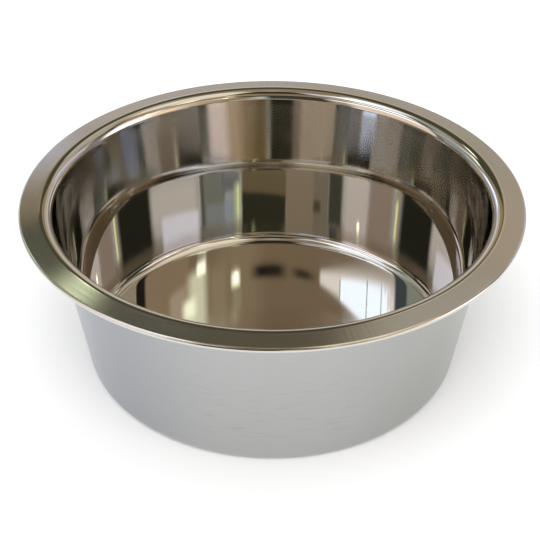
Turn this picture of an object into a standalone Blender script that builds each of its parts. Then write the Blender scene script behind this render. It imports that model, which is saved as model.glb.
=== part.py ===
"""Deep-drawn stainless steel feeding bowl with a sloping flange and a rolled edge.

The whole bowl is one disc of sheet: a flat standing ring round a slightly raised floor, a rounded
heel, a straight conical wall, a rounded shoulder, a flange that falls a little outwards, and an
edge that is rolled down and under. Units are metres, +Z is up, and the origin is the centre of the
standing ring, on the surface that the bowl stands on.
"""

import math

import bmesh
import bpy

# Sheet and overall sizes
SHEET = 0.0006                      # thickness of the sheet
RIM_DIAMETER = 0.216                # over the rolled edge
OVERALL_HEIGHT = 0.0793             # standing surface to the crown of the shoulder

# Floor and heel
STANDING_WIDTH = 0.0090             # flat ring that the bowl stands on
FLOOR_RISE = 0.0012                 # how far the middle of the floor is pressed up
HEEL_RADIUS = 0.0050                # outer radius between floor and wall

# Wall, shoulder and flange
WALL_SLOPE = math.radians(8.4)      # how far the wall leans out from upright
SHOULDER_RADIUS = 0.0050            # upper surface, between wall and flange
FLANGE_WIDTH = 0.0137               # wall line to the outside of the roll
FLANGE_FALL = math.radians(5.6)     # how far the flange drops outwards

# Rolled edge
ROLL_RADIUS = 0.0011                # outside of the roll
ROLL_TURN = math.radians(250.0)     # how far the sheet is rolled round

# Facets
AROUND = 72                         # faces round the bowl
ARC_STEP = math.radians(15.0)       # largest turn from one facet to the next in the section
ROLL_STEP = math.radians(32.0)      # the same in the small roll
FLOOR_STEPS = 5                     # facets from the middle of the floor to its ring
SHARP_ANGLE = math.radians(40.0)    # edges that turn more than this show as edges

STEEL_COLOUR = (0.66, 0.65, 0.62, 1.0)
STEEL_ROUGHNESS = 0.18


def arc(centre, radius, start, turn, step):
    """Points on a round stretch of the section, from the angle start through the angle turn."""
    count = max(2, math.ceil(abs(turn) / step))
    angles = [start + turn * index / count for index in range(count + 1)]
    return [(centre[0] + radius * math.cos(a), centre[1] + radius * math.sin(a)) for a in angles]


def shoulder_centre():
    """Centre of the shoulder's bend, from the wall line and the crown of the bowl."""
    crown_height = OVERALL_HEIGHT - SHOULDER_RADIUS
    corner_turn = math.pi / 2 + FLANGE_FALL - WALL_SLOPE
    setback = SHOULDER_RADIUS * math.tan(corner_turn / 2)
    corner_radius = RIM_DIAMETER / 2 - FLANGE_WIDTH
    return (corner_radius
            + setback * math.cos(FLANGE_FALL)
            - SHOULDER_RADIUS * math.sin(FLANGE_FALL), crown_height)


def heel_centre(shoulder):
    """Centre of the heel's bend: it touches the standing surface and the outside of the wall."""
    lean = math.tan(WALL_SLOPE)
    inner_from_shoulder = SHOULDER_RADIUS / math.cos(WALL_SLOPE)
    drop = shoulder[1] - HEEL_RADIUS
    inner_wall_radius = shoulder[0] - inner_from_shoulder - drop * lean
    return (inner_wall_radius - (HEEL_RADIUS - SHEET) / math.cos(WALL_SLOPE), HEEL_RADIUS)


def roll_centre(shoulder):
    """Centre of the rolled edge: it hangs under the outer end of the flange's upper surface."""
    radius = RIM_DIAMETER / 2 - ROLL_RADIUS
    run = radius - shoulder[0]
    offset = (SHOULDER_RADIUS - ROLL_RADIUS) / math.cos(FLANGE_FALL)
    return (radius, shoulder[1] + offset - run * math.tan(FLANGE_FALL))


def floor_height(radius, ring_radius):
    """Height of the pressed floor above its standing ring: a smooth swell towards the middle."""
    return FLOOR_RISE * (1.0 + math.cos(math.pi * radius / ring_radius)) / 2


def sheet_section():
    """Closed section of the sheet: out along the inside, round the roll and back underneath."""
    shoulder = shoulder_centre()
    heel = heel_centre(shoulder)
    roll = roll_centre(shoulder)
    ring_radius = heel[0] - STANDING_WIDTH
    radii = [ring_radius * index / FLOOR_STEPS for index in range(FLOOR_STEPS + 1)]

    heel_turn = math.pi / 2 - WALL_SLOPE
    shoulder_turn = math.pi / 2 + FLANGE_FALL - WALL_SLOPE
    flange_normal = math.pi / 2 - FLANGE_FALL
    wall_normal = flange_normal + shoulder_turn

    inside = [(r, floor_height(r, ring_radius) + SHEET) for r in radii]
    inside += arc(heel, HEEL_RADIUS - SHEET, -math.pi / 2, heel_turn, ARC_STEP)
    inside += arc(shoulder, SHOULDER_RADIUS, wall_normal, -shoulder_turn, ARC_STEP)
    inside += arc(roll, ROLL_RADIUS, flange_normal, -ROLL_TURN, ROLL_STEP)

    underneath = arc(roll, ROLL_RADIUS - SHEET, flange_normal - ROLL_TURN, ROLL_TURN, ROLL_STEP)
    underneath += arc(shoulder, SHOULDER_RADIUS - SHEET, flange_normal, shoulder_turn, ARC_STEP)
    underneath += arc(heel, HEEL_RADIUS, heel_turn - math.pi / 2, -heel_turn, ARC_STEP)
    underneath += [(r, floor_height(r, ring_radius)) for r in reversed(radii)]
    return inside + underneath


def steel():
    """Polished stainless steel."""
    material = bpy.data.materials.new("stainless_steel")
    material.use_nodes = True
    shader = material.node_tree.nodes["Principled BSDF"]
    shader.inputs["Base Color"].default_value = STEEL_COLOUR
    shader.inputs["Metallic"].default_value = 1.0
    shader.inputs["Roughness"].default_value = STEEL_ROUGHNESS
    return material


def bowl_shell():
    """The one piece of sheet, turned from its section."""
    weld = SHEET / 100
    bm = bmesh.new()
    corners = [bm.verts.new((r, 0.0, z)) for r, z in sheet_section()]
    edges = [bm.edges.new(pair) for pair in zip(corners, corners[1:])]
    bmesh.ops.spin(bm, geom=corners + edges, cent=(0, 0, 0), axis=(0, 0, 1),
                   angle=2 * math.pi, steps=AROUND, use_merge=True)
    bmesh.ops.remove_doubles(bm, verts=bm.verts, dist=weld)
    bmesh.ops.recalc_face_normals(bm, faces=bm.faces)
    mesh = bpy.data.meshes.new("bowl_shell")
    bm.to_mesh(mesh)
    bm.free()
    mesh.shade_smooth()
    mesh.set_sharp_from_angle(angle=SHARP_ANGLE)
    mesh.materials.append(steel())
    shell = bpy.data.objects.new("bowl_shell", mesh)
    bpy.context.scene.collection.objects.link(shell)
    return shell


for old in list(bpy.data.objects):
    bpy.data.objects.remove(old, do_unlink=True)
bowl_shell()
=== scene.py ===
import math

import bmesh
import bpy
from mathutils import Matrix, Vector

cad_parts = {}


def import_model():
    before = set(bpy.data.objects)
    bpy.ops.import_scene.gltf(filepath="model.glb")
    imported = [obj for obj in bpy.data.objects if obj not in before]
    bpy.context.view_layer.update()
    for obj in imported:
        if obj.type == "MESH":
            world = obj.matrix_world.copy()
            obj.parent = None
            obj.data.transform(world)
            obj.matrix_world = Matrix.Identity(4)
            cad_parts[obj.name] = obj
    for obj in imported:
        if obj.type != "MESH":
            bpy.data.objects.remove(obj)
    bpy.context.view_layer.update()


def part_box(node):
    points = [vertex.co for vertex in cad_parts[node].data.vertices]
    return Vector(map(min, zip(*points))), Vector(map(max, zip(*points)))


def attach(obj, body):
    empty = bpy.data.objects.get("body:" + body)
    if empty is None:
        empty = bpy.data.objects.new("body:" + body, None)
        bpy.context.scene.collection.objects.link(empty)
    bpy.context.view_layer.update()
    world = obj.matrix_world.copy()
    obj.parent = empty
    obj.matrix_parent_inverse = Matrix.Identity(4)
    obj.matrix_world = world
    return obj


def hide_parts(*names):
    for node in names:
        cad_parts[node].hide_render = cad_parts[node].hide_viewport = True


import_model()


# The bowl
# One disc of 0.6 mm stainless steel sheet, deep-drawn into floor, heel, wall and shoulder, with its
# flange pressed down outwards and its edge rolled under. Nothing is joined to it.

shell_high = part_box("bowl_shell")[1]
RIM_RADIUS = shell_high.x             # over the rolled edge
CROWN_HEIGHT = shell_high.z           # standing surface to the crown of the shoulder
SHEET = 0.0006
STANDING_WIDTH = 0.0090               # flat ring that the bowl stands on
FLOOR_RISE = 0.0012                   # how far the middle of the floor is pressed up
INSIDE_RISE = 0.00153                 # the same on the inside, where the dome runs out to the heel
FLOOR_ROUNDNESS = 1.1                 # 1 is a plain dish with a crease at its edge; more rounds the crease
HEEL_RADIUS = 0.0050                  # outer radius between floor and wall
WALL_SLOPE = math.radians(8.4)        # how far the wall leans out from upright
SHOULDER_RADIUS = 0.0050              # upper surface, between wall and flange
FLANGE_WIDTH = 0.0137                 # wall line to the outside of the roll
FLANGE_FALL = math.radians(5.6)       # how far the flange drops outwards
ROLL_RADIUS = 0.0011                  # outside of the roll
ROLL_TURN = math.radians(250.0)       # how far the sheet is rolled round

AROUND = 288                          # faces round the bowl
ARC_STEP = math.radians(4.0)          # turn from one facet to the next in the bends
ROLL_STEP = math.radians(12.0)        # the same in the small roll
STRAIGHT_STEP = 0.0030                # spacing on the straight stretches
TANGENT_STEP = 0.0003                 # first step beside a bend, which keeps its shading to itself
SHARP_ANGLE = math.radians(40.0)      # edges that turn more than this show as edges


def arc(centre, radius, start, turn, step):
    """Points on a bend of the section, from the angle start through the angle turn."""
    count = math.ceil(abs(turn) / step)
    angles = [start + turn * index / count for index in range(count + 1)]
    return [(centre[0] + radius * math.cos(a), centre[1] + radius * math.sin(a)) for a in angles]


def straight(first, last):
    """Points strictly between two ends, close together beside each end."""
    length = math.dist(first, last)
    count = max(1, round((length - 2 * TANGENT_STEP) / STRAIGHT_STEP))
    inner = length - 2 * TANGENT_STEP
    shares = [(TANGENT_STEP + inner * index / count) / length for index in range(count + 1)]
    return [tuple(a + (b - a) * share for a, b in zip(first, last)) for share in shares]


def bend_centres():
    """Centres of the shoulder, the heel and the roll, each tangent to the wall or the flange."""
    corner_turn = math.pi / 2 + FLANGE_FALL - WALL_SLOPE
    setback = SHOULDER_RADIUS * math.tan(corner_turn / 2)
    shoulder = (RIM_RADIUS - FLANGE_WIDTH + setback * math.cos(FLANGE_FALL)
                - SHOULDER_RADIUS * math.sin(FLANGE_FALL), CROWN_HEIGHT - SHOULDER_RADIUS)
    wall_radius = (shoulder[0] - SHOULDER_RADIUS / math.cos(WALL_SLOPE)
                   - (shoulder[1] - HEEL_RADIUS) * math.tan(WALL_SLOPE))
    heel = (wall_radius - (HEEL_RADIUS - SHEET) / math.cos(WALL_SLOPE), HEEL_RADIUS)
    roll_radius = RIM_RADIUS - ROLL_RADIUS
    roll = (roll_radius, shoulder[1] + (SHOULDER_RADIUS - ROLL_RADIUS) / math.cos(FLANGE_FALL)
            - (roll_radius - shoulder[0]) * math.tan(FLANGE_FALL))
    return shoulder, heel, roll


def floor_line(edge_radius, lift, rise):
    """The pressed floor, a shallow dome that runs out softly at its edge."""
    count = 2 * round(edge_radius / STRAIGHT_STEP)
    radii = [edge_radius * index / count for index in range(count + 1)]
    return [(r, lift + rise * (1 - (r / edge_radius) ** 2) ** FLOOR_ROUNDNESS) for r in radii]


def sheet_section():
    """The closed section as (finish, points) stretches: out along the inside and back underneath."""
    shoulder, heel, roll = bend_centres()
    ring_radius = heel[0] - STANDING_WIDTH
    heel_turn = math.pi / 2 - WALL_SLOPE
    shoulder_turn = math.pi / 2 + FLANGE_FALL - WALL_SLOPE
    flange_normal = math.pi / 2 - FLANGE_FALL
    wall_normal = flange_normal + shoulder_turn

    inner_floor = floor_line(heel[0], SHEET, INSIDE_RISE)[:-1]
    inner_heel = arc(heel, HEEL_RADIUS - SHEET, -math.pi / 2, heel_turn, ARC_STEP)
    upper_shoulder = arc(shoulder, SHOULDER_RADIUS, wall_normal, -shoulder_turn, ARC_STEP)
    roll_outside = arc(roll, ROLL_RADIUS, flange_normal, -ROLL_TURN, ROLL_STEP)
    roll_inside = arc(roll, ROLL_RADIUS - SHEET, flange_normal - ROLL_TURN, ROLL_TURN, ROLL_STEP)
    under_shoulder = arc(shoulder, SHOULDER_RADIUS - SHEET, flange_normal, shoulder_turn, ARC_STEP)
    outer_heel = arc(heel, HEEL_RADIUS, heel_turn - math.pi / 2, -heel_turn, ARC_STEP)
    under_floor = list(reversed(floor_line(ring_radius, 0.0, FLOOR_RISE)))

    return [
        ("inside", inner_floor + inner_heel
         + straight(inner_heel[-1], upper_shoulder[0]) + upper_shoulder),
        ("flange", straight(upper_shoulder[-1], roll_outside[0])),
        ("inside", roll_outside),
        ("underside", roll_inside + straight(roll_inside[-1], under_shoulder[0]) + under_shoulder),
        ("outside", straight(under_shoulder[-1], outer_heel[0]) + outer_heel),
        ("underside", straight(outer_heel[-1], under_floor[0]) + under_floor),
    ]


# Polished stainless steel, buffed on a lathe: the inside, the shoulder and the rolled edge.
# It mirrors the room, and its fine round lines draw each mirrored light out along the section.
# Wiping has dulled the upper part of the wall a little.

BUFFED_GREY = "#CFCDC8"
BUFFED_ROUGHNESS = (0.014, 0.032)     # from the clearest patches to the dullest
HAZE_PATCHES = 60.0                   # patches to a metre, so that one is about 17 mm long
NOISE_RANGE = (0.3, 0.7)              # the values that a noise pattern mostly stays between
WAVE_LENGTH = 0.045                   # from one soft swell of the sheet to the next
WAVE_HEIGHT = 0.00004
WIPED_BAND = (0.042, 0.058, 0.071, 0.075)   # heights: starts, is full from and up to, and ends
WIPED_HAZE = 0.07                     # roughness that wiping adds
LINE_SPREAD = 0.9                     # how much more the lines spread light across them than along
ACROSS_THE_LINES = 0.25               # a quarter turn from the round direction


def linear(hex_colour):
    """An sRGB hex colour as linear red, green, blue and alpha."""
    parts = [int(hex_colour[index:index + 2], 16) / 255 for index in (1, 3, 5)]
    return [c / 12.92 if c <= 0.04045 else ((c + 0.055) / 1.055) ** 2.4 for c in parts] + [1.0]


def add_node(tree, kind, values=None, links=None, **settings):
    """Adds a node, with its properties, its socket values and the links into it."""
    made = tree.nodes.new(kind)
    for name, value in settings.items():
        setattr(made, name, value)
    for socket, value in (values or {}).items():
        made.inputs[socket].default_value = value
    for socket, source in (links or {}).items():
        tree.links.new(source, made.inputs[socket])
    return made


def steel_tree(name):
    """A new steel with the metal's default IOR: the material, its node tree and its shader."""
    material = bpy.data.materials.new(name)
    material.use_nodes = True
    shader = material.node_tree.nodes["Principled BSDF"]
    shader.inputs["Metallic"].default_value = 1.0
    return material, material.node_tree, shader


def height_band(tree, place, band, most=1.0):
    """Rises from 0 to the most between the band's first two heights, and falls between its last two."""
    first, full, last, end = band
    height = add_node(tree, "ShaderNodeSeparateXYZ", links={0: place}).outputs["Z"]
    rising = add_node(tree, "ShaderNodeMapRange", {"From Min": first, "From Max": full, "To Max": most},
                      {"Value": height}, interpolation_type="SMOOTHSTEP")
    falling = add_node(tree, "ShaderNodeMapRange", {"From Min": end, "From Max": last},
                       {"Value": height}, interpolation_type="SMOOTHSTEP")
    both = add_node(tree, "ShaderNodeMath", links={0: rising.outputs[0], 1: falling.outputs[0]},
                    operation="MULTIPLY")
    return both.outputs[0]


def patchy_roughness(tree, noise, roughness):
    """Roughness that follows a noise pattern, from the first value to the second."""
    spread = {"From Min": NOISE_RANGE[0], "From Max": NOISE_RANGE[1],
              "To Min": roughness[0], "To Max": roughness[1]}
    return add_node(tree, "ShaderNodeMapRange", spread, {"Value": noise}).outputs[0]


def lined_finish(tree, shader, bumps, roughness):
    """Gives the steel fine lines round the bowl, which spread light across them."""
    round_way = add_node(tree, "ShaderNodeTangent", direction_type="RADIAL", axis="Z")
    shader.inputs["Anisotropic"].default_value = LINE_SPREAD
    shader.inputs["Anisotropic Rotation"].default_value = ACROSS_THE_LINES
    tree.links.new(round_way.outputs[0], shader.inputs["Tangent"])
    tree.links.new(bumps, shader.inputs["Normal"])
    tree.links.new(roughness, shader.inputs["Roughness"])


def polished_steel():
    material, tree, shader = steel_tree("stainless_steel_buffed")
    shader.inputs["Base Color"].default_value = linear(BUFFED_GREY)
    place = add_node(tree, "ShaderNodeTexCoord").outputs["Object"]
    swell = add_node(tree, "ShaderNodeTexNoise", {"Scale": 1 / WAVE_LENGTH, "Detail": 0.0}, {"Vector": place})
    waved = add_node(tree, "ShaderNodeBump", {"Distance": WAVE_HEIGHT}, {"Height": swell.outputs["Fac"]})
    haze = add_node(tree, "ShaderNodeTexNoise", {"Scale": HAZE_PATCHES, "Detail": 2.0}, {"Vector": place})
    buffed = patchy_roughness(tree, haze.outputs["Fac"], BUFFED_ROUGHNESS)
    wiped = height_band(tree, place, WIPED_BAND, WIPED_HAZE)
    rough = add_node(tree, "ShaderNodeMath", links={0: buffed, 1: wiped}, operation="ADD")
    lined_finish(tree, shader, waved.outputs[0], rough.outputs[0])
    return material


# Satin stainless steel, brushed round with an abrasive belt: the top of the flange.
# Its fine round lines spread what it mirrors into a soft sheen, and hands have left a few short
# rubs across them.

BRUSHED_GREY = "#C4C4C0"
BRUSHED_ROUGHNESS = (0.16, 0.20)
BRUSH_LINE = 0.0004                   # real lines are near 0.1 mm; drawn coarser so that they show
BRUSH_RUNS = 5.0                      # how often a line changes in one radian round the bowl
BRUSH_DEPTH = 0.0000006
RUB_WIDTH = 0.0009
RUB_LENGTH = 0.015
RUB_DEPTH = 0.000015
RUB_PLACE = (0.42, -0.91, 0.0)        # from the middle of the bowl, to the front and the right
RUB_REACH = (0.966, 0.992)            # cosines of the angles from there at which rubs start and are full


def lathe_position(tree, place):
    """Place on the turned surface: a vector whose X and Y go round the bowl and whose Z, in metres,
    goes along the section, so that grain drawn on it follows the lathe."""
    height = add_node(tree, "ShaderNodeSeparateXYZ", links={0: place}).outputs["Z"]
    flat = add_node(tree, "ShaderNodeVectorMath", {1: (1, 1, 0)}, {0: place}, operation="MULTIPLY")
    radius = add_node(tree, "ShaderNodeVectorMath", links={0: flat.outputs["Vector"]}, operation="LENGTH")
    around = add_node(tree, "ShaderNodeVectorMath", links={0: flat.outputs["Vector"]}, operation="NORMALIZE")
    run = add_node(tree, "ShaderNodeMath", links={0: radius.outputs["Value"], 1: height}, operation="ADD")
    lift = add_node(tree, "ShaderNodeCombineXYZ", links={2: run.outputs[0]})
    both = add_node(tree, "ShaderNodeVectorMath", links={0: around.outputs["Vector"], 1: lift.outputs[0]},
                    operation="ADD")
    return both.outputs["Vector"]


def lathe_grain(tree, on_lathe, runs, spacing, detail):
    """Noise drawn out round the bowl: so many runs to a radian, and the spacing along the section."""
    stretched = add_node(tree, "ShaderNodeVectorMath", {1: (runs, runs, 1 / spacing)}, {0: on_lathe},
                         operation="MULTIPLY")
    grain = add_node(tree, "ShaderNodeTexNoise", {"Scale": 1.0, "Detail": detail},
                     {"Vector": stretched.outputs[0]})
    return grain.outputs["Fac"]


def satin_steel():
    material, tree, shader = steel_tree("stainless_steel_brushed")
    shader.inputs["Base Color"].default_value = linear(BRUSHED_GREY)
    on_lathe = lathe_position(tree, add_node(tree, "ShaderNodeTexCoord").outputs["Object"])
    lines = lathe_grain(tree, on_lathe, BRUSH_RUNS, BRUSH_LINE, 4.0)
    brushed = add_node(tree, "ShaderNodeBump", {"Distance": BRUSH_DEPTH}, {"Height": lines})
    rubs = lathe_grain(tree, on_lathe, RIM_RADIUS / RUB_WIDTH, RUB_LENGTH, 2.0)
    beside = add_node(tree, "ShaderNodeVectorMath", {1: RUB_PLACE}, {0: on_lathe}, operation="DOT_PRODUCT")
    near = add_node(tree, "ShaderNodeMapRange", {"From Min": RUB_REACH[0], "From Max": RUB_REACH[1]},
                    {"Value": beside.outputs["Value"]}, interpolation_type="SMOOTHSTEP")
    rubbed = add_node(tree, "ShaderNodeMath", links={0: rubs, 1: near.outputs[0]}, operation="MULTIPLY")
    marked = add_node(tree, "ShaderNodeBump", {"Distance": RUB_DEPTH},
                      {"Height": rubbed.outputs[0], "Normal": brushed.outputs[0]})
    lined_finish(tree, shader, marked.outputs[0], patchy_roughness(tree, lines, BRUSHED_ROUGHNESS))
    return material


# Fine satin stainless steel, as the press and a light finishing belt leave it: the outside wall.
# It spreads the mirrored floor into an even grey, with faint scuffs low on the wall from stacking.
# Its grey darkens to both sides, which is shade painted to match the photograph and no real coating.

WALL_GREY = "#B1B2B1"
SHADE_LEFT = "#92969E"
SHADE_RIGHT = "#9FA09B"
SHADE_REACH = (0.015, 0.092)          # along X from the middle: where the shade starts and is full
WALL_ROUGHNESS = (0.24, 0.26)         # clean and scuffed
SCUFF_GREY = "#A3A3A2"
SCUFF_LENGTH = 0.011
SCUFF_HEIGHT = 0.0009
SCUFF_BAND = (0.010, 0.016, 0.044, 0.052)   # heights at which a stacked bowl rubs, as in WIPED_BAND
SCUFF_PICK = (0.56, 0.76)             # noise values at which a scuff starts and is full


def outside_steel():
    material, tree, shader = steel_tree("stainless_steel_satin")
    place = add_node(tree, "ShaderNodeTexCoord").outputs["Object"]
    marks = lathe_grain(tree, lathe_position(tree, place), RIM_RADIUS / SCUFF_LENGTH, SCUFF_HEIGHT, 3.0)
    picked = add_node(tree, "ShaderNodeMapRange", {"From Min": SCUFF_PICK[0], "From Max": SCUFF_PICK[1]},
                      {"Value": marks})
    band = height_band(tree, place, SCUFF_BAND)
    scuffed = add_node(tree, "ShaderNodeMath", links={0: picked.outputs[0], 1: band},
                       operation="MULTIPLY").outputs[0]
    # Painted shade: the grey darkens along X towards the left and the right, cool on the left and warm on the
    # right.
    across = add_node(tree, "ShaderNodeSeparateXYZ", links={0: place}).outputs["X"]
    start, full = SHADE_REACH
    to_left = add_node(tree, "ShaderNodeMapRange", {"From Min": -start, "From Max": -full},
                       {"Value": across}, interpolation_type="SMOOTHSTEP")
    to_right = add_node(tree, "ShaderNodeMapRange", {"From Min": start, "From Max": full},
                        {"Value": across}, interpolation_type="SMOOTHSTEP")
    left = add_node(tree, "ShaderNodeMix", {"A": linear(WALL_GREY), "B": linear(SHADE_LEFT)},
                    {"Factor": to_left.outputs[0]}, data_type="RGBA")
    painted_shade_grey = add_node(tree, "ShaderNodeMix", {"B": linear(SHADE_RIGHT)},
                     {"Factor": to_right.outputs[0], "A": left.outputs["Result"]}, data_type="RGBA")
    tint = add_node(tree, "ShaderNodeMix", {"B": linear(SCUFF_GREY)},
                    {"Factor": scuffed, "A": painted_shade_grey.outputs["Result"]}, data_type="RGBA")
    rough = add_node(tree, "ShaderNodeMapRange", {"To Min": WALL_ROUGHNESS[0], "To Max": WALL_ROUGHNESS[1]},
                     {"Value": scuffed})
    tree.links.new(tint.outputs["Result"], shader.inputs["Base Color"])
    tree.links.new(rough.outputs[0], shader.inputs["Roughness"])
    return material


# The sheet in its three finishes
# The section is turned round the bowl's axis, and each stretch of it takes the finish of its side.
# The undersides of the flange and of the floor are left like the outside wall.

FINISHES = {"inside": polished_steel(), "flange": satin_steel(), "outside": outside_steel()}
FINISHES["underside"] = FINISHES["outside"]


def bowl_sheet():
    """The sheet, turned from its section, with each stretch in its own finish."""
    order = list(dict.fromkeys(FINISHES.values()))
    stretches = sheet_section()
    points = [point for finish, stretch in stretches for point in stretch]
    finishes = [order.index(FINISHES[finish]) for finish, stretch in stretches for point in stretch]
    bm = bmesh.new()
    rings = []
    for radius, height in points:
        turns = AROUND if radius > 0 else 1
        angles = [2 * math.pi * index / AROUND for index in range(turns)]
        rings.append([bm.verts.new((radius * math.cos(a), radius * math.sin(a), height)) for a in angles])
    for near, far, finish in zip(rings, rings[1:], finishes):
        for index in range(AROUND):
            after = (index + 1) % AROUND
            corners = [near[index % len(near)], far[index % len(far)],
                       far[after % len(far)], near[after % len(near)]]
            face = bm.faces.new(list(dict.fromkeys(corners)))
            face.material_index = finish
            face.smooth = True
    bmesh.ops.recalc_face_normals(bm, faces=bm.faces)
    mesh = bpy.data.meshes.new("bowl_sheet")
    bm.to_mesh(mesh)
    bm.free()
    for material in order:
        mesh.materials.append(material)
    mesh.set_sharp_from_angle(angle=SHARP_ANGLE)
    made = bpy.data.objects.new("bowl_sheet", mesh)
    bpy.context.scene.collection.objects.link(made)
    return made


bowl = bowl_sheet()
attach(bowl, "root")
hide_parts("bowl_shell")


# The camera
# Above the near edge of the bowl, looking down into it, at the photograph's distance.

FRAME_PIXELS = 540
FOCAL_PIXELS = 1252.6
SENSOR = 36.0
CAMERA_DISTANCE = 0.540
CAMERA_HEIGHT = math.radians(31.512)  # above the plane of the rolled edge
LOOK_DOWN = math.radians(34.942)
LOOK_ASIDE = math.radians(-0.110)
TILT = math.radians(0.147)
NEAREST = 0.01                        # nearer than this the camera sees nothing


def photo_camera():
    roll_height = bend_centres()[2][1]
    place = Vector((0, -math.cos(CAMERA_HEIGHT), math.sin(CAMERA_HEIGHT))) * CAMERA_DISTANCE
    place.z += roll_height
    ahead = Vector((math.sin(LOOK_ASIDE) * math.cos(LOOK_DOWN),
                    math.cos(LOOK_ASIDE) * math.cos(LOOK_DOWN),
                    -math.sin(LOOK_DOWN)))
    aside = ahead.cross(Vector((0, 0, 1))).normalized()
    up = aside.cross(ahead)
    right = math.cos(TILT) * aside + math.sin(TILT) * up
    above = math.cos(TILT) * up - math.sin(TILT) * aside
    data = bpy.data.cameras.new("camera")
    data.sensor_width = SENSOR
    data.lens = SENSOR * FOCAL_PIXELS / FRAME_PIXELS
    data.clip_start = NEAREST
    made = bpy.data.objects.new("camera", data)
    turn = Matrix((right, above, -ahead)).transposed()
    made.matrix_world = Matrix.Translation(place) @ turn.to_4x4()
    bpy.context.scene.collection.objects.link(made)
    return made


bpy.context.scene.camera = photo_camera()


# The floor
# A wide, matt, near-white table top, which keeps the bowl's soft shadow.

FLOOR_RADIUS = 12.0
FLOOR_SIDES = 64
FLOOR_WHITE = "#F4F4F4"


def matt_paint():
    material = bpy.data.materials.new("paint_matt_white")
    material.use_nodes = True
    shader = material.node_tree.nodes["Principled BSDF"]
    shader.inputs["Base Color"].default_value = linear(FLOOR_WHITE)
    shader.inputs["Roughness"].default_value = 1.0
    shader.inputs["Specular IOR Level"].default_value = 0.0
    return material


def floor():
    bm = bmesh.new()
    bmesh.ops.create_circle(bm, cap_ends=True, segments=FLOOR_SIDES, radius=FLOOR_RADIUS)
    mesh = bpy.data.meshes.new("floor")
    bm.to_mesh(mesh)
    bm.free()
    mesh.materials.append(matt_paint())
    made = bpy.data.objects.new("floor", mesh)
    bpy.context.scene.collection.objects.link(made)


floor()


# The light
# White all round, and one broad soft lamp from above and before the bowl. The lamp shows in no mirror.

WORLD_FILL = 0.95                     # white all round, as it lights matt things
LAMP_LEVEL = 1.9
LAMP_SPREAD = math.radians(60.0)
LAMP_HEIGHT = math.radians(48.0)      # over the table, from the camera's side
LAMP_ASIDE = math.radians(-12.0)      # a little to the left of the camera


def world():
    made = bpy.data.worlds.new("white_room")
    made.use_nodes = True
    made.cycles.sampling_method = "NONE"
    tree = made.node_tree
    path = add_node(tree, "ShaderNodeLightPath").outputs
    seen = add_node(tree, "ShaderNodeMath", links={0: path["Is Camera Ray"], 1: path["Is Glossy Ray"]},
                    operation="MAXIMUM")
    seen = add_node(tree, "ShaderNodeMath", links={0: seen.outputs[0], 1: path["Is Transmission Ray"]},
                    operation="MAXIMUM")
    level = add_node(tree, "ShaderNodeMapRange", {"To Min": WORLD_FILL, "To Max": 1.0},
                     {"Value": seen.outputs[0]})
    background = tree.nodes["Background"]
    background.inputs["Color"].default_value = (1, 1, 1, 1)
    tree.links.new(level.outputs[0], background.inputs["Strength"])
    bpy.context.scene.world = made


def soft_lamp():
    data = bpy.data.lights.new("soft_lamp", "SUN")
    data.energy = LAMP_LEVEL
    data.angle = LAMP_SPREAD
    made = bpy.data.objects.new("soft_lamp", data)
    made.rotation_euler = (math.pi / 2 - LAMP_HEIGHT, 0, LAMP_ASIDE)
    made.visible_glossy = False
    bpy.context.scene.collection.objects.link(made)


world()
soft_lamp()


# The room that the steel mirrors
# A tan dome and upright boards round the bowl, light, dark and coloured. Only mirrored rays meet them.
# Their places and colours were first measured in what the photographed bowl mirrors, rounded, and
# then adjusted by comparing renders with the photograph.

ROOM_RADIUS = 3.0
BOARD_STEP = 0.008                    # from one board to the next one in front of it
BOARD_FACE = 3.0                      # degrees across a board's faces, so that it curves with the dome


def board_paint(name, colour, glow, softness):
    """A glowing finish that fades out over the given share of the board, from each edge."""
    material = bpy.data.materials.new(name)
    material.use_nodes = True
    material.cycles.emission_sampling = "NONE"
    tree = material.node_tree
    tree.nodes.remove(tree.nodes["Principled BSDF"])
    shine = add_node(tree, "ShaderNodeEmission", {"Color": linear(colour), "Strength": glow})
    place = add_node(tree, "ShaderNodeUVMap").outputs[0]
    parts = add_node(tree, "ShaderNodeSeparateXYZ", links={0: place}).outputs
    fades = []
    for axis, share in zip("XY", softness):
        from_middle = add_node(tree, "ShaderNodeMath", {1: 0.5}, {0: parts[axis]}, operation="SUBTRACT")
        spread = add_node(tree, "ShaderNodeMath", links={0: from_middle.outputs[0]}, operation="ABSOLUTE")
        fades.append(add_node(tree, "ShaderNodeMapRange", {"From Min": 0.5, "From Max": 0.5 - share},
                              {"Value": spread.outputs[0]}, interpolation_type="SMOOTHSTEP").outputs[0])
    solid = add_node(tree, "ShaderNodeMath", links={0: fades[0], 1: fades[1]}, operation="MULTIPLY")
    clear = add_node(tree, "ShaderNodeBsdfTransparent")
    both = add_node(tree, "ShaderNodeMixShader", links={0: solid.outputs[0], 1: clear.outputs[0],
                                                        2: shine.outputs[0]})
    tree.links.new(both.outputs[0], tree.nodes["Material Output"].inputs["Surface"])
    return material


def room_point(azimuth, elevation, distance):
    """A place in the room; azimuth 0 is straight past the bowl, and 180 is behind the camera."""
    a, e = math.radians(azimuth), math.radians(elevation)
    return Vector((math.sin(a) * math.cos(e), math.cos(a) * math.cos(e), math.sin(e))) * distance


boards = []


def both_ways(value):
    """A single value stands for both ends or both directions."""
    return value if isinstance(value, tuple) else (value, value)


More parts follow.
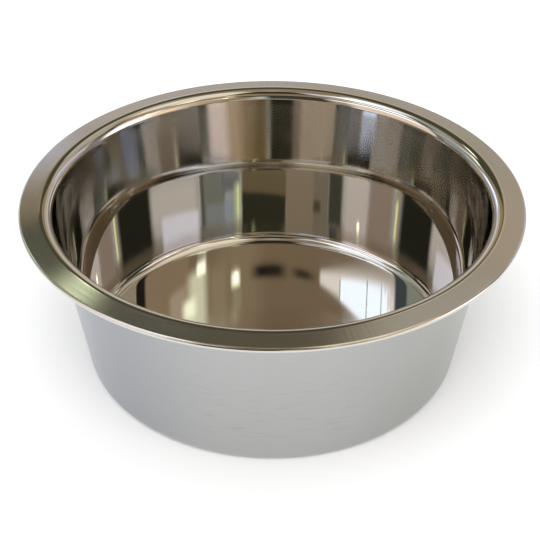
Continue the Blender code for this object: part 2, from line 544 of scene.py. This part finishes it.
def board(name, azimuths, lows, highs, colour, glow=1.0, fade=(3.0, 1.0)):
    """One board, from its first azimuth to its last, with its lower and upper edge in degrees there.
    It fades out over the given degrees, sideways and upwards. Each later board stands a little
    nearer, in front of the ones before."""
    lows, highs = both_ways(lows), both_ways(highs)
    distance = ROOM_RADIUS - BOARD_STEP * len(boards)
    width = abs(azimuths[1] - azimuths[0])
    height = min(high - low for low, high in zip(lows, highs))
    columns, rows = math.ceil(width / BOARD_FACE), math.ceil(height / BOARD_FACE)
    bm = bmesh.new()
    layer = bm.loops.layers.uv.new("place")
    grid = []
    for row in range(rows + 1):
        line = []
        for column in range(columns + 1):
            u, v = column / columns, row / rows
            azimuth = azimuths[0] + (azimuths[1] - azimuths[0]) * u
            low = lows[0] + (lows[1] - lows[0]) * u
            high = highs[0] + (highs[1] - highs[0]) * u
            line.append(bm.verts.new(room_point(azimuth, low + (high - low) * v, distance)))
        grid.append(line)
    for row in range(rows):
        for column in range(columns):
            face = bm.faces.new((grid[row][column], grid[row][column + 1],
                                 grid[row + 1][column + 1], grid[row + 1][column]))
            for loop, (du, dv) in zip(face.loops, ((0, 0), (1, 0), (1, 1), (0, 1))):
                loop[layer].uv = ((column + du) / columns, (row + dv) / rows)
    mesh = bpy.data.meshes.new(name)
    bm.to_mesh(mesh)
    bm.free()
    softness = (min(0.5, fade[0] / width), min(0.5, fade[1] / height))
    mesh.materials.append(board_paint(name, colour, glow, softness))
    made = bpy.data.objects.new(name, mesh)
    bpy.context.scene.collection.objects.link(made)
    made.visible_camera = False
    made.visible_diffuse = False
    made.visible_transmission = False
    made.visible_volume_scatter = False
    made.visible_shadow = False
    boards.append(made)


# Overhead: a tan ceiling, lighter over the windows on both sides
board("ceiling", (-181, 181), 36, 89.5, "#A69075", fade=(0.01, 4.0))
board("ceiling_left", (-124, -36), 54, 76, "#FFFFFF", 1.3, (8.0, 6.0))
board("skylight_left", (-136, -50), 60, 76, "#F8F8FF", 2.0, (12.0, 5.0))
board("ceiling_back_left", (-162, -116), 58, 80, "#F4F4FF", fade=(9.0, 6.0))
board("ceiling_right", (28, 156), 54, 86, "#F8ECD6", 1.25, (16.0, 6.0))
board("overhead_behind", (142, 218), 57, 88, "#454032", fade=(14.0, 3.0))

# Mirrored by the bowl's floor, over the edge of its wall
board("ceiling_lit_behind", (134, 180), 44, 60, "#BAA487", fade=(18.0, 4.0))
board("blind_left", (-83, -66), 40, 58, "#5B656A", fade=(2.0, 2.0))
board("soffit_left", (-70, -44), 40, 60, "#B3BCAF", fade=(3.0, 3.0))
board("high_window_left", (-145, -79), (49.1, 43.3), (51.0, 56.5), "#F4EEEC", 1.9, (3.0, 0.7))
board("high_sky_left", (-128, -84), (49.0, 45.8), (52.0, 54.8), "#E2EEFF", 3.0, (1.5, 0.6))
board("window_bar_back", (-128.4, -127.2), 49.2, 51.8, "#D2D2D4", fade=(0.5, 0.5))
board("window_bar_middle", (-106.2, -104.8), 47.6, 53.6, "#D2D2D4", fade=(0.6, 0.5))
board("window_bar_front", (-93.6, -92.2), 46.8, 54.4, "#E7E7E7", fade=(0.6, 0.5))
board("high_wall_right", (38, 70), 38, 54, "#CBBDA6", fade=(3.0, 3.0))
board("high_post_right", (67, 78), 38, 50, "#302B2A", fade=(1.2, 1.0))
board("cabinet_right", (75, 118), 36, 58, "#BEA588", fade=(4.0, 3.0))
board("cabinet_sheen", (96, 116), 48.5, 54, "#E7D1BA", fade=(6.0, 1.0))
board("strip_light", (111, 134), 47.5, 60, "#FFFFE1", 1.4, (9.0, 1.5))
board("strip_glare", (107, 124), 50.2, 54, "#FAFFE5", 2.4, (7.0, 1.4))
board("strip_bulb", (121, 131), 47.3, 49.2, "#FFFFEE", 3.0, (3.0, 0.7))
board("strip_shade", (129, 149), 47, 58, "#C6B193", fade=(7.0, 3.0))
board("table_lamp", (148, 157), 49.5, 51.9, "#FFFFE0", 2.4, (2.5, 0.8))
board("table_lamp_bulb", (151, 154.5), 49.9, 51.0, "#FFFFF4", 6.0, (1.0, 0.4))
board("table_lamp_trail", (149, 158), 51.5, 55, "#CBBC9D", fade=(2.5, 1.0))
board("cloth_behind", (160, 195), 49.3, 51.4, "#2A2622", fade=(12.0, 0.85))
board("cloth_shade_behind", (191, 216), 49.6, 51.1, "#524638", fade=(11.0, 0.6))

# Mirrored by the upper half of the wall
board("low_behind", (-188, -140), 2, 28.5, "#4D4B3F", fade=(8.0, 1.0))
board("low_blind_left", (-153, -128), 2, 28.5, "#BCAA92", fade=(9.0, 1.0))
board("low_window_left", (-142, -80), 2, 28.5, "#FFE9D1", 1.1, (10.0, 1.0))
board("low_post_left", (-86, -76), 2, 28.5, "#89847C")
board("low_frame_left", (-80, -58), 2, 28.5, "#A6AAAA")
board("low_glass_left", (-64, -40), 2, 28.5, "#C8CBDA", fade=(8.0, 1.0))
board("low_wall_far", (-50, 66), 2, 28.5, "#CEC1AF", fade=(6.0, 1.0))
board("low_glass_far", (-45, -15), 18.2, 21.5, "#CBDAFF", 4.0, (7.0, 1.0))
board("low_paper_far", (-18, 5), 17, 20.5, "#FFF4FA", 1.1, (5.0, 1.0))
board("low_table_far", (-52, 64), 2, 18.4, "#E7DDD7", fade=(6.0, 1.2))
board("low_table_glass", (-46, -14), 2, 18.4, "#CFDAFF", 1.5, (6.0, 1.2))
board("low_ground_far", (-75, 75), 0.5, 13.0, "#99958A", fade=(8.0, 2.5))
board("glass_right_far", (26, 66), 22, 28.5, "#BCCBFF", 1.6, (8.0, 1.5))
board("shade_left_far", (-62, -24), 21.8, 28, "#8C8874", fade=(5.0, 1.5))
board("low_post_right", (61, 84), 2, 28.5, "#93938B", fade=(8.0, 1.0))
board("low_window_right", (78, 118), 2, 28.5, "#FFEDED", 2.3, (10.0, 1.0))
board("low_curtain_right", (98, 150), 2, 28.5, "#FFE1BC", 1.42, (26.0, 1.0))
board("low_wood_right", (120, 168), 2, 28.5, "#E2BF90", fade=(24.0, 1.0))
board("low_wood_near", (140, 180), 2, 28.5, "#B49C6C", fade=(16.0, 1.0))

# Mirrored by the lower half of the wall
board("behind", (153, 219), 27, 39.5, "#3F3F34", fade=(11.0, 1.0))
board("window_left", (-153, -83), 25, 40, "#FFF7F5", 1.45, (10.0, 6.0))
board("window_glare_left", (-138, -84), 34, 41, "#EDEDFF", 2.35, (6.0, 1.5))
board("post_left", (-85, -74), 27, 38.5, "#8C8C80")
board("frame_left", (-81, -53), 27, 38.5, "#B6BBB1")
board("frame_top_left", (-79, -53), 33.5, 38.5, "#CBD3DA", fade=(3.0, 1.5))
board("shade_left", (-60, -36), 27, 33, "#A9AEB6", fade=(4.0, 2.0))
board("glass_left", (-58, -42), 32.3, 38.5, "#D9E9FF", 1.05, (4.0, 2.0))
board("lime_curtain", (-46, -34), 29, 39, "#F3FFD1", 1.28, (3.0, 3.0))
board("table_far", (-37, 20), 27, 35, "#A49273", fade=(4.0, 1.0))
board("doorway_far", (-36, 17), (31.7, 32.8), 42, "#50503F", fade=(2.5, 1.0))
board("doorway_top_far", (-32, 13), 40.5, 60, "#50503F", fade=(6.0, 2.0))
board("high_wall_far", (11, 48), 39, 62, "#CDC4B4", fade=(2.5, 2.0))
board("lamp_shade_far", (-26, -18), 40, 46.5, "#F4FFD6", 5.0, (4.0, 3.0))
board("door_far", (14, 50), 27, 40, "#D0BDA4")
board("door_edge_far", (46, 66), 27, 40, "#BCAD99")
board("door_gap_far", (46, 58), 33.2, 36.6, "#77755F", fade=(4.0, 1.2))
board("post_right", (62, 85), 27, 38.5, "#696B5F", fade=(6.0, 1.0))
board("window_right", (80, 120), 27, 40, "#FFF3F3", 1.5, (10.0, 1.0))
board("wall_right", (112, 150), 27, 40, "#E5CEC1", fade=(7.0, 1.0))
board("lamp_shade_near", (149, 160), 28, 38.5, "#EDE7BC", fade=(4.0, 2.0))
board("lamp_near", (150, 156), 29.5, 38.5, "#FFF9CE", 2.6, (3.0, 2.0))
board("lamp_right", (101, 105.5), 36.2, 38.3, "#FFFFE6", 6.0, (1.5, 0.7))
board("lime_gap", (-42, -37.5), 29, 39, "#F6FFD2", 2.2, (1.8, 3.0))


# The picture
# The colours go straight to the screen, and light is followed from steel to steel often enough for
# the ends of the wall.

MIRRORINGS = 8                        # the ends of the wall mirror each other more than four times

bpy.context.scene.view_settings.view_transform = "Standard"
bpy.context.scene.cycles.glossy_bounces = MIRRORINGS
